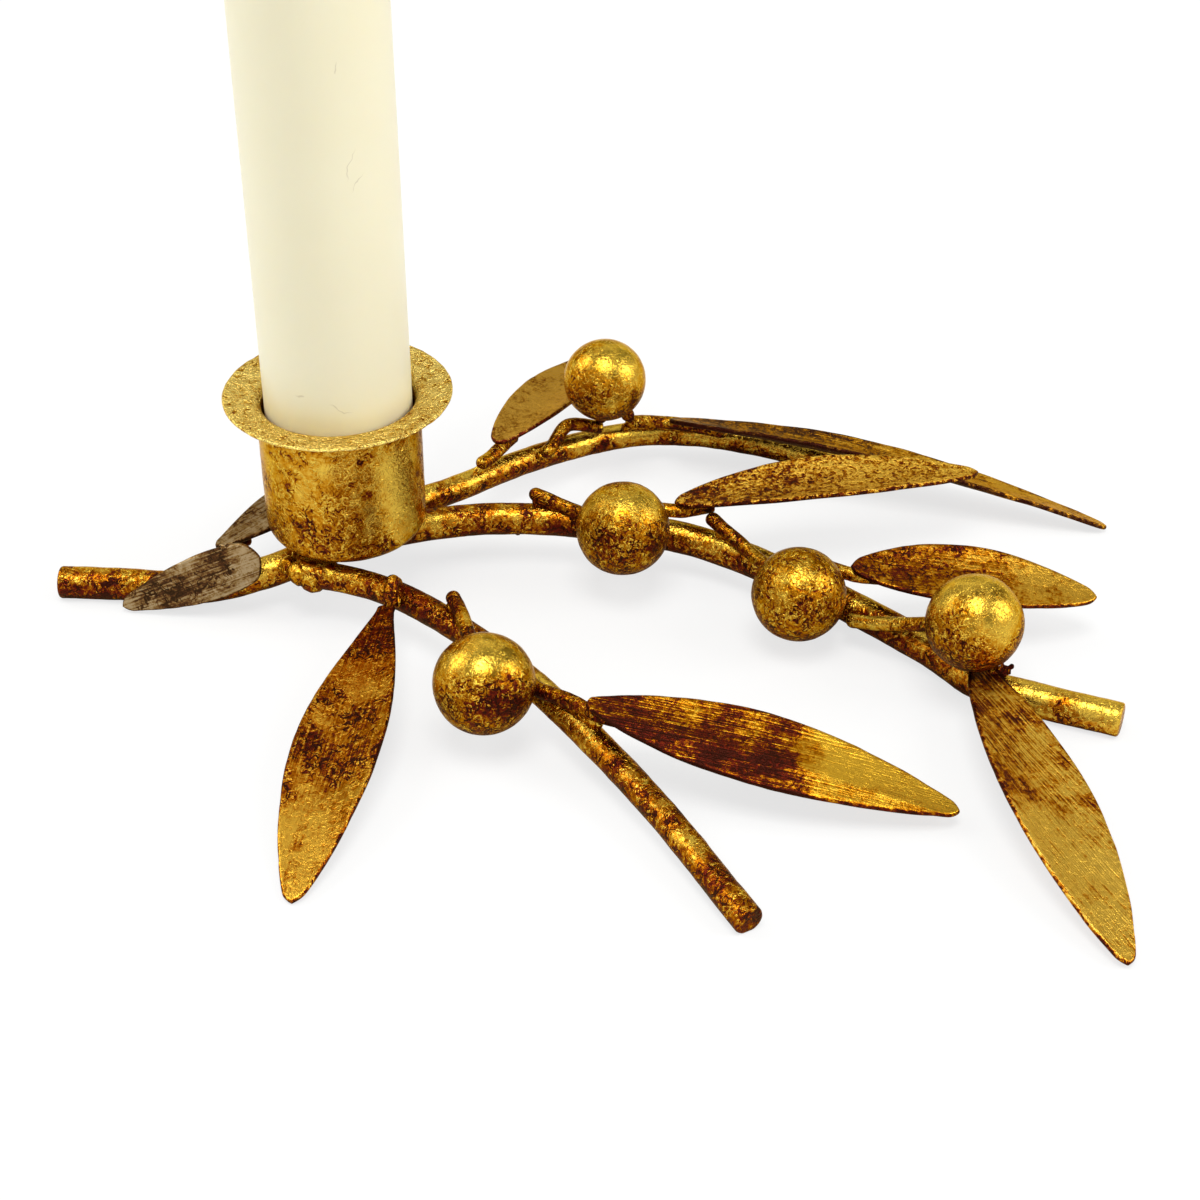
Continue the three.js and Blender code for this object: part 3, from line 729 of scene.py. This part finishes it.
def cutLeaf(leaf, seed):
    # a top and a bottom grid just inside the outline, joined by rounded loops round the cut edge
    rows, columns = leafMesh["rows"], leafMesh["columns"]
    length = leaf["form"][0]
    base = leaf.get("base", plainBase)
    thin = stock["sheet"] / 2
    inset = leafMesh["inset"] * thin
    share = (1 - np.cos(np.linspace(leafMesh["endGap"], math.pi - leafMesh["endGap"], rows + 1))) / 2
    reach = share * (length + base[0]) - base[0]
    edges = []
    for hand in (-1, 1):
        path = np.stack([reach, np.full(rows + 1, leafMesh["handShift"] * hand), np.zeros(rows + 1)], 1)
        ragged = leafMesh["ragged"] * lumps(path, leafMesh["raggedSize"], seed)
        half = leafHalfWidth(leaf["form"], base, reach) - inset + np.minimum(ragged, 0)
        edges.append(hand * np.maximum(half, leafMesh["narrowest"]))
    weave = np.linspace(0, 1, columns + 1)
    y = (edges[0][:, None] * (1 - weave) + edges[1][:, None] * weave).ravel()
    x = np.repeat(reach, columns + 1)
    height = leafHeight(leaf, x, y, seed)
    top = np.stack([x, y, height + thin], 1)
    under = np.stack([x, y, height - thin], 1)
    grid = np.arange(len(x)).reshape(rows + 1, columns + 1)
    loop = np.concatenate([grid[:-1, 0], grid[-1, :-1], grid[:0:-1, -1], grid[0, :0:-1]])
    ring = np.stack([x[loop], y[loop]], 1)
    along = np.roll(ring, -1, 0) - np.roll(ring, 1, 0)
    outward = unit(np.stack([along[:, 1], -along[:, 0]], 1))
    if (outward * (ring - ring.mean(0))).sum() < 0:
        outward = -outward
    layers = []
    for lift in leafMesh["rounding"]:
        edge = ring + outward * inset * math.sqrt(1 - lift * lift)
        layers.append(np.column_stack([edge, height[loop] + lift * thin]))
    points = np.vstack([top, under, *layers])
    a, b, c, d = grid[:-1, :-1], grid[1:, :-1], grid[1:, 1:], grid[:-1, 1:]
    below = len(x)  # the underside's points come after the top's
    faces = np.stack([a, b, c, d, below + a, below + d, below + c, below + b], -1).reshape(-1, 4).tolist()
    rims = [2 * below + k * len(loop) + np.arange(len(loop)) for k in range(len(layers))]
    faces += bandFaces([loop, *rims, below + loop])
    marks = {"share": np.clip(points[:, 0] / length, 0, 1), "leafX": points[:, 0], "leafY": points[:, 1],
             "rim": np.arange(len(points)) >= 2 * below}
    return points, faces, marks


def turnMatrix(yaw, pitch, bank):
    turned = np.eye(3)
    for degrees, a, b in ((yaw, 0, 1), (-pitch, 2, 0), (bank, 1, 2)):
        step = np.eye(3)
        step[[a, b], [a, b]] = math.cos(math.radians(degrees))
        step[b, a] = math.sin(math.radians(degrees))
        step[a, b] = -step[b, a]
        turned = turned @ step
    return turned


for name, leaf in leafSettings.items():
    rod = rods[leaf["rod"]]
    along, roll, lift = leaf["seat"]
    length, width, arch, dish, widest = leaf["form"]
    seed = leaf["finish"]["seed"]
    onWire = stock["wire"] + stock["seam"] if leaf["wire"] else 0.0
    base = placeOnRod(rod, along, roll, stock["seam"] + onWire + stock["sheet"] / 2 + lift)
    turned = turnMatrix(*leaf["pose"])
    points, faces, marks = cutLeaf(leaf, seed)
    placed = points @ turned.T + base
    patches = []
    for x, y, reach, wear in leaf.get("patches", []):
        height = float(leafHeight(leaf, np.array([x]), np.array([y]), seed)[0])
        patches.append((turned @ np.array([x, y, height]) + base, reach, wear))
    look = goldLeafOnSteel(name + "GoldLeafOnSheetSteel", {**brushed, **leaf["finish"], "patches": patches})
    addPiece(name, placed, faces, look, nodeOf(name), marks=marks)
    if not leaf["wire"]:
        continue
    route = layWire(leaf["wire"], rod)
    if not leaf.get("wireStaysOnRod"):
        under = stock["sheet"] / 2 + stock["seam"] + stock["wire"] / 2
        for reach in stock["leafSeats"]:
            share = reach / length
            seat = np.array([reach, 0, 4 * arch * share * (1 - share) - under])
            route.append(turned @ seat + base)
            drop = turned @ (seat + [0, 0, weldDrop["leafLift"]]) + base
            welds[leaf["rod"]].append((drop, weldDrop["leaf"]))
    makeWire(name + "Wire", route, seed, leaf["rod"])
print("leaves cut:", len(leafSettings))


# Cup spun from sheet, with crumpled leaf on its flange
cupSettings = {
    "bore": 22.6, "wall": 0.8, "height": 23.8, "corner": 3.0, "rim": 33.8,
    "bend": 1.6,  # radius of the turn into the flange
    "rise": 0.5,  # the flange climbs to its edge
    "edge": 0.5,  # and thins
    "sides": 200, "ringStep": 0.6, "sharp": 50,
    "wobble": 0.06, "wobbleSize": 5.0,  # mm, the wall out of round
    "wobbleRing": 9.0, "wobbleRise": 0.4,  # mm round and share of the height that it is read at
    "dents": 0.5, "dentSize": 1.6,  # share of the wobble, mm
    "crumple": 0.1, "crumpleSize": 1.4,  # mm, the leaf on the flange
    "buckle": 0.7, "buckleSize": 4.0,  # share of the crumple, mm
    "crumpleFrom": 1.0, "crumpleFade": 1.5,  # mm before the flange where it starts, mm to its full height
    "lumpSeeds": (1, 2, 3, 5),
    "flangeDrop": 0.4,  # mm below the flange where its finish starts
    "finish": {
        "wear": [(0.0, 0.5), (0.35, 0.44), (0.8, 0.4), (1.0, 0.42)], "broad": 0.7, "wholeCracks": 0.15,
        "paintedTopLight": 0.1, "pale": "#d8b244", "gold": "#b67a12", "seed": 41.0},
    "flangeFinish": {
        "wear": allOver(0.18), "broad": 0.6, "flakes": 1.4, "calm": 1.0, "cracks": 0.4, "wholeCracks": 0.6,
        "paintedGlints": 0.4, "paintedTopLight": 0.0, "relief": 0.35, "pale": "#efd272", "gold": "#c8942a",
        "roughness": (0.18, 0.3), "seed": 42.0},
    "spots": [  # degrees round the axis, height in mm, radius in mm, added wear
        (-112, 7.5, 4.2, 0.16), (-57, 3.0, 3.0, 0.14), (-125, 13.3, 1.3, 0.2), (-77, 15.2, 1.1, 0.2),
        (-66, 12.5, 1.4, 0.2), (-75, 9.0, 1.2, 0.16), (-71, 18.3, 1.0, 0.2), (-90, 19.0, 1.2, 0.12),
        # the three at -40 degrees take wear away: a painted reflection, the bright upright band where a lamp
        # shows in the wall
        (-40, 5.5, 4.6, -0.2), (-40, 10.5, 4.6, -0.2), (-40, 15.5, 4.6, -0.2)],
}


def arcOf(centre, radius, start, stop, count):
    angles = np.radians(np.linspace(start, stop, count))
    return [(centre[0] + radius * math.cos(a), centre[1] + radius * math.sin(a)) for a in angles]


def sweepCurve(a, b, c, count):
    t = np.linspace(0, 1, count)[1:, None]
    a, b, c = (np.array(p, float) for p in (a, b, c))
    return [tuple(p) for p in a * (1 - t) ** 2 + 2 * b * t * (1 - t) + c * t ** 2]


def fillIn(profile, step):
    # more rings on long straight stretches, so that the wobble has points to move
    made = [profile[0]]
    for a, b in zip(profile, profile[1:]):
        parts = max(int(math.dist(a, b) / step), 1)
        made += [tuple(np.array(a) + (np.array(b) - a) * k / parts) for k in range(1, parts + 1)]
    return made


def spinCup(cup):
    inner = cup["bore"] / 2
    outer = inner + cup["wall"]
    top = cup["height"]
    edge = cup["rim"] / 2
    lip = cup["edge"] / 2
    foot = (outer - cup["corner"], cup["corner"])
    turn = (inner + cup["bend"], top - cup["rise"] - cup["bend"])
    profile = [(0, 0), *arcOf(foot, cup["corner"], -90, 0, 10)]
    profile += arcOf(turn, cup["bend"] - cup["wall"], 180, 90, 8)
    profile += arcOf((edge - lip, top - lip), lip, -80, 90, 9)
    profile += arcOf(turn, cup["bend"], 90, 180, 12)
    profile += arcOf(foot, cup["corner"] - cup["wall"], 0, -90, 8)
    profile.append((0, cup["wall"]))
    points, faces = spin(fillIn(profile, cup["ringStep"]), cup["sides"])
    reach = np.hypot(points[:, 0], points[:, 1])
    flat = points * [1, 1, 0]
    away = flat / np.maximum(reach, 1e-6)[:, None]
    wobble, dents, crumple, buckle = cup["lumpSeeds"]
    onWall = away * cup["wobbleRing"] + points * [0, 0, cup["wobbleRise"]]
    wave = lumps(onWall, cup["wobbleSize"], wobble) + cup["dents"] * lumps(points, cup["dentSize"], dents)
    onFlange = np.clip((reach - turn[0] + cup["crumpleFrom"]) / cup["crumpleFade"], 0, 1)
    creased = lumps(flat, cup["crumpleSize"], crumple)
    creased += cup["buckle"] * lumps(flat, cup["buckleSize"], buckle)
    share = points[:, 2] / top
    points = points + away * (cup["wobble"] * wave)[:, None]
    points[:, 2] += cup["crumple"] * onFlange * creased
    return points + [0, 0, cupFoot], faces, share


points, faces, share = spinCup(cupSettings)
wall = cupSettings["bore"] / 2 + cupSettings["wall"]
wornSpotsAndPaintedReflection = []
for degrees, height, radius, wear in cupSettings["spots"]:
    turn = math.radians(degrees)
    wornSpotsAndPaintedReflection.append(((wall * math.cos(turn), wall * math.sin(turn), cupFoot + height), radius, wear))
cupGold = goldLeafOnSteel("goldLeafOnSpunSteel", {**cupSettings["finish"], "patches": wornSpotsAndPaintedReflection})
cupPiece = addPiece("candleCup", points, faces, cupGold, "candle_cup", marks={"share": share},
                    sharp=cupSettings["sharp"])
cupPiece.data.materials.append(goldLeafOnSteel("crumpledGoldLeafOnFlange", cupSettings["flangeFinish"]))
flangeLow = cupFoot + cupSettings["height"]
for part in ("rise", "wall", "flangeDrop"):
    flangeLow -= cupSettings[part]
for face in cupPiece.data.polygons:
    face.material_index = int(face.center.z / mm > flangeLow)
print("cup spun")


# Welds: drops of metal melted together
weldSettings = {
    "voxel": 0.2,  # mm
    "lump": 0.22,  # mm that the lumps stand out
    "lumpSize": 0.9,  # mm across a lump
    "lumpSeeds": (0.1, 0.4, 0.7),
    "smoothing": 4,
    "cupSeed": 7,
    "burntSeed": 8,
    "gilded": {"wear": allOver(0.56), "seed": 51.0},
    "burnt": {"wear": allOver(0.92), "roughness": (0.4, 0.55), "seed": 52.0},
    "cupDrops": [
        ((-6.5, -9.0, 8.0), 2.0), ((-4.5, -9.4, 7.2), 2.2), ((-1.8, -9.6, 8.0), 2.1),
        ((-8.5, -7.0, 8.0), 1.6)],
    "knotDrops": [((8.2, -13.4, 9.0), 1.2), ((7.6, -13.9, 7.0), 1.4)],
    "dripDrops": [((25.7, 7.1, 4.9), 0.6)],
    "burntDrops": [
        ((38.8, 32.1, 11.0), 1.1), ((43.2, 34.5, 10.0), 1.2), ((94.4, -30.9, 5.6), 0.7),
        ((95.5, -30.7, 5.8), 0.75), ((96.7, -30.5, 6.0), 0.55), ((97.6, -30.3, 6.3), 0.4),
        ((96.4, -31.1, 5.4), 0.5), ((97.2, -30.8, 5.5), 0.35), ((96.2, -30.1, 6.7), 0.35)],
}


def meltWeld(name, drops, finish, seed):
    work = bmesh.new()
    for point, radius in drops:
        place = Matrix.Translation(Vector(point))
        bmesh.ops.create_icosphere(work, subdivisions=2, radius=radius, matrix=place)
    places = [vert.co[:] for vert in work.verts]
    pushed = np.stack([lumps(places, weldSettings["lumpSize"], seed + turn)
                       for turn in weldSettings["lumpSeeds"]], 1)
    for vert, push in zip(work.verts, pushed):
        vert.co += weldSettings["lump"] * Vector(push)
    soup = bpy.data.meshes.new("weldSoup")
    work.to_mesh(soup)
    work.free()
    holder = addObject("weldSoup", soup)
    remesh = holder.modifiers.new("melt", "REMESH")
    remesh.mode = "VOXEL"
    remesh.voxel_size = weldSettings["voxel"]
    smooth = holder.modifiers.new("flow", "SMOOTH")
    smooth.iterations = weldSettings["smoothing"]
    melted = holder.evaluated_get(bpy.context.evaluated_depsgraph_get()).to_mesh()
    points = np.array([vert.co[:] for vert in melted.vertices])
    faces = [tuple(face.vertices) for face in melted.polygons]
    bpy.data.objects.remove(holder)
    addPiece(name, points, faces, finish, marks={"share": np.zeros(len(points))})


for key in ("frontBranch", "backBranch"):
    welds["stem"] += beadBetween(rods[key], rods[key]["thick"], rods["stem"])
welds["stem"] += weldSettings["dripDrops"]
welds["frontBranch"] += weldSettings["knotDrops"]
weldGold = goldLeafOnSteel("goldLeafOnWeldMetal", weldSettings["gilded"])
burntWeld = goldLeafOnSteel("burntWeldMetal", weldSettings["burnt"])
for k, (key, drops) in enumerate(welds.items()):
    meltWeld(key + "Welds", drops, weldGold, k)
meltWeld("cupWeld", weldSettings["cupDrops"], weldGold, weldSettings["cupSeed"])
meltWeld("burntWelds", weldSettings["burntDrops"], burntWeld, weldSettings["burntSeed"])
print("welds melted:", sum(len(drops) for drops in welds.values()), "drops")


# Candle and its wick
candleSettings = {
    "thick": 21.8, "length": 125.0, "chamfer": 1.5, "shoulder": 9.0, "tip": 8.0,
    "wickHole": 2.4, "holeLip": 0.4, "wickDepth": 8.0,
    "sides": 128, "ringStep": 2.5, "shoulderRings": 16, "sharp": 40,
    "ivory": "#f1ecd0", "shade": "#ebe3c2", "scuff": "#a89878",
    "cloudSize": 22.0,  # mm across a paler cloud
    "rippleSize": 3.0,  # mm across a ripple of the polished skin
    "ripple": 0.02,  # mm
    "roughness": (0.36, 0.5),
    "bleed": 0.25,  # share of the light that goes under the skin
    "bleedReach": 2.0,  # mm
    "bleedColours": (1.0, 0.8, 0.5),
    "wander": 1.6,  # mm that a scuff strays
    "wanderSize": 1.5,
    "scuffDepth": 4.0,
    "scuffCore": 0.4,  # share of a scuff that is full
    "scuffStrength": 0.35,
    "scuffs": [  # middle in mm, half length and half width in mm, tilt in degrees
        ((5.2, -9.5, 74.2), 2.6, 0.12, 75.0), ((6.0, -9.0, 71.5), 1.6, 0.1, 55.0),
        ((4.4, -9.9, 88.0), 1.2, 0.12, 80.0), ((1.6, -10.7, 37.2), 2.0, 0.12, -28.0),
        ((-4.1, -9.9, 39.2), 0.6, 0.25, 10.0)],
}
wickSettings = {
    "strand": 1.0, "strands": 3, "spread": 0.42, "turns": 5.0, "shown": 8.0, "lean": 1.2,
    "samples": 60, "seed": 60.0,
    "mesh": {"sides": 12, "step": 0.4, "ends": ("round", "round")},
    "cotton": "#e9e2d0", "gaps": "#d3c9b2",
    "threadSize": 0.25, "relief": 0.1,  # mm
}


def castWax(candle):
    # poured and polished ivory wax: soft shine, light that bleeds a little under the skin, faint scuffs
    material, add = newMaterial("pouredIvoryWax")
    inMm = placeInMm(add)
    cloud = add("TexNoise", {"Vector": inMm, "Scale": 1 / candle["cloudSize"], "Detail": 2.0})
    colour = add("Mix", {
        0: cloud, 6: srgb(candle["ivory"]), 7: srgb(candle["shade"])}, out=2, data_type="RGBA")
    ripple = add("TexNoise", {"Vector": inMm, "Scale": 1 / candle["rippleSize"], "Detail": 3.0})
    wander = add("TexNoise", {
        "Vector": inMm, "Scale": 1 / candle["wanderSize"], "Detail": 1.0}, out="Color")
    stray = candle["wander"]
    wavy = add("VectorMath", [wander, (stray, stray, stray), inMm], operation="MULTIPLY_ADD")
    for middle, long, thin, tilt in candle["scuffs"]:
        centre = tuple(np.array(middle) + cupAxis / mm + stray / 2)  # a point strays by half on average
        laid = add("Mapping", {
            "Vector": wavy, "Location": centre, "Rotation": (0, -math.radians(tilt), 0),
            "Scale": (long, candle["scuffDepth"], thin)}, vector_type="TEXTURE")
        away = add("VectorMath", [laid], out="Value", operation="LENGTH")
        mark = add("MapRange", [away, 1, candle["scuffCore"], 0, candle["scuffStrength"]])
        colour = add("Mix", {0: mark, 6: colour, 7: srgb(candle["scuff"])}, out=2, data_type="RGBA")
    bumps = add("Bump", {"Height": ripple, "Strength": 0.5, "Distance": candle["ripple"] * mm})
    gloss = add("MapRange", [ripple, 0, 1, *candle["roughness"]])
    shader = add("BsdfPrincipled", {
        "Base Color": colour, "Roughness": gloss, "Normal": bumps, "IOR": 1.44,
        "Subsurface Weight": candle["bleed"], "Subsurface Radius": candle["bleedColours"],
        "Subsurface Scale": candle["bleedReach"] * mm})
    add("OutputMaterial", {"Surface": shader})
    return material


def braidedCotton(wick):
    # undyed cotton plait stiffened with wax: matt, with fine threads across and painted shade in the low
    # places between them
    material, add = newMaterial("waxedCottonBraid")
    threads = add("TexNoise", {
        "Vector": placeInMm(add), "Scale": 1 / wick["threadSize"], "Detail": 2.0})
    colour = add("Mix", {
        0: threads, 6: srgb(wick["gaps"]), 7: srgb(wick["cotton"])}, out=2, data_type="RGBA")
    bumps = add("Bump", {"Height": threads, "Distance": wick["relief"] * mm})
    shader = add("BsdfPrincipled", {"Base Color": colour, "Roughness": 0.85, "Normal": bumps})
    add("OutputMaterial", {"Surface": shader})
    return material


def castCandle(candle):
    radius = candle["thick"] / 2
    top = candle["length"]
    hole = candle["wickHole"] / 2
    lip = candle["holeLip"]
    start = top - candle["shoulder"]
    floor = top - candle["wickDepth"]
    profile = [(0, 0), (radius - candle["chamfer"], 0), (radius, candle["chamfer"]), (radius, start)]
    profile += sweepCurve((radius, start), (radius, top), (candle["tip"] / 2, top), candle["shoulderRings"])
    profile += [(hole + lip, top), (hole, top - lip), (hole, floor), (0, floor)]
    points, faces = spin(fillIn(profile, candle["ringStep"]), candle["sides"])
    return points + [0, 0, candleFoot], faces


def braidWick(wick, candle):
    base = candle["length"] - candle["wickDepth"] + stock["seam"]
    top = candle["length"] + wick["shown"]
    height = np.linspace(base, top, wick["samples"])
    lean = wick["lean"] * np.clip((height - candle["length"]) / wick["shown"], 0, 1) ** 2
    allPoints, allFaces = [], []
    for strand in range(wick["strands"]):
        turn = 2 * math.pi * (wick["turns"] * (height - base) / (top - base) + strand / wick["strands"])
        track = np.stack([lean + wick["spread"] * np.cos(turn), wick["spread"] * np.sin(turn), height], 1)
        line = {**measured(track), "track": track + [0, 0, candleFoot]}
        points, faces, share = sweepBar(line, wick["strand"], wick["seed"] + strand, **wick["mesh"])
        start = sum(len(p) for p in allPoints)
        allPoints.append(points)
        allFaces += [tuple(k + start for k in face) for face in faces]
    return np.vstack(allPoints), allFaces


points, faces = castCandle(candleSettings)
addPiece("waxCandle", points, faces, castWax(candleSettings), "candle", body="candle",
         sharp=candleSettings["sharp"])
points, faces = braidWick(wickSettings, candleSettings)
addPiece("braidedWick", points, faces, braidedCotton(wickSettings), "candle_wick", body="candle")
print("candle cast")


# Stage: pale floor, white backdrop and soft lamps
stageSettings = {
    "camera": (38.6, -289.9, 199.7),  # mm from the cup's axis on the table
    "tiltDown": 35.0,
    "lens": 67.8,
    "film": 36.0,
    "nearest": 0.01,
    "floorSize": 6000.0,
    "floorDrop": 0.05,  # mm under the rods
    "floorColour": "#eeeeec",
    "floorGrain": 40.0,
    "floorRoughness": (0.85, 0.95),
    "floorGlow": 0.72,  # share of plain white that the eye sees
    "fill": 0.5,
    "panels": (0.3, 1.2),  # how bright the metal sees the gaps and the white panels of the room
    "panelSize": 0.4,  # radians across a panel
    "panelEdge": (0.4, 0.6),  # pattern levels where a gap turns into a panel
    "ceiling": 0.65,  # straight up the room is darker
    "ceilingRise": (0.65, 0.95),  # sines of the height where that starts and is full
    "walls": 0.9,  # plain and bright low down
    "wallRise": (0.05, 0.3),
    "lamps": [  # place in mm, size in mm, watts
        ((0, -390, 1400), 700, 12.0),
        ((-700, 200, 600), 500, 2.8),
        ((800, -100, 500), 500, 3.1),
    ],
    "aim": (20, -10, 10),
}
plainWhite = (1, 1, 1, 1)


def inFrame(place):
    return Vector(np.array(place) * mm + cupAxis)


def seenStraight(add):
    # rays from the eye, also through glass
    ray = add("LightPath", out="Is Camera Ray")
    return add("Math", [ray, ray.node.outputs["Is Transmission Ray"]], operation="MAXIMUM")


def paleFloor(stage):
    # sprayed white board: dull, with the shadow showing through the white that is seen
    material, add = newMaterial("sprayedWhiteBoard")
    grain = add("TexNoise", {"Scale": stage["floorGrain"], "Detail": 2.0})
    gloss = add("MapRange", [grain, 0, 1, *stage["floorRoughness"]])
    board = add("BsdfPrincipled", {
        "Base Color": srgb(stage["floorColour"]), "Roughness": gloss, "Specular IOR Level": 0.0})
    white = add("Emission", {"Color": plainWhite, "Strength": 1.0})
    part = add("Math", [seenStraight(add), stage["floorGlow"]], operation="MULTIPLY")
    mixed = add("MixShader", [part, board, white])
    add("OutputMaterial", {"Surface": mixed})
    return material


def layFloor(stage):
    half = stage["floorSize"] / 2
    low = -stage["floorDrop"]
    corners = [(-half, -half, low), (half, -half, low), (half, half, low), (-half, half, low)]
    mesh = bpy.data.meshes.new("floor")
    mesh.from_pydata([tuple(c * mm for c in corner) for corner in corners], [], [(0, 1, 2, 3)])
    mesh.materials.append(paleFloor(stage))
    floor = addObject("floor", mesh)


def hangLamps(stage):
    for k, (place, size, watts) in enumerate(stage["lamps"]):
        lamp = bpy.data.lights.new("softbox%d" % k, "AREA")
        lamp.size = size * mm
        lamp.energy = watts
        holder = addObject("softbox%d" % k, lamp)
        holder.location = inFrame(place)
        toAim = inFrame(stage["aim"]) - holder.location
        holder.rotation_euler = toAim.to_track_quat("-Z", "Y").to_euler()


def paintRoom(stage):
    # the eye sees plain white, the metal sees white panels with gaps
    world = bpy.data.worlds.new("studio")
    bpy.context.scene.world = world
    add = startNodes(world)
    view = add("TexCoord", out="Generated")
    rise = add("SeparateXYZ", [view], out="Z")
    patches = add("TexNoise", {"Vector": view, "Scale": 1 / stage["panelSize"], "Detail": 0.0})
    panels = add("MapRange", [patches, *stage["panelEdge"], *stage["panels"]])
    ceiling = add("MapRange", [rise, *stage["ceilingRise"], 1, stage["ceiling"]])
    overhead = add("Math", [panels, ceiling], operation="MULTIPLY")
    high = add("MapRange", [rise, *stage["wallRise"]])
    dimmer = add("Mix", {0: high, 2: stage["walls"], 3: overhead})
    fill = add("Background", {"Color": plainWhite, "Strength": stage["fill"]})
    room = add("Background", {"Color": plainWhite, "Strength": dimmer})
    white = add("Background", {"Color": plainWhite, "Strength": 1.0})
    mirrored = add("LightPath", out="Is Glossy Ray")
    lit = add("MixShader", [mirrored, fill, room])
    mixed = add("MixShader", [seenStraight(add), lit, white])
    add("OutputWorld", {"Surface": mixed})


def setCamera(stage):
    data = bpy.data.cameras.new("camera")
    data.sensor_width = stage["film"]
    data.lens = stage["lens"]
    data.clip_start = stage["nearest"]
    camera = addObject("camera", data)
    camera.location = inFrame(stage["camera"])
    camera.rotation_euler = (math.radians(90 - stage["tiltDown"]), 0, 0)
    bpy.context.scene.camera = camera


layFloor(stageSettings)
hangLamps(stageSettings)
paintRoom(stageSettings)
setCamera(stageSettings)
bpy.context.scene.view_settings.view_transform = "Standard"
print("stage set")
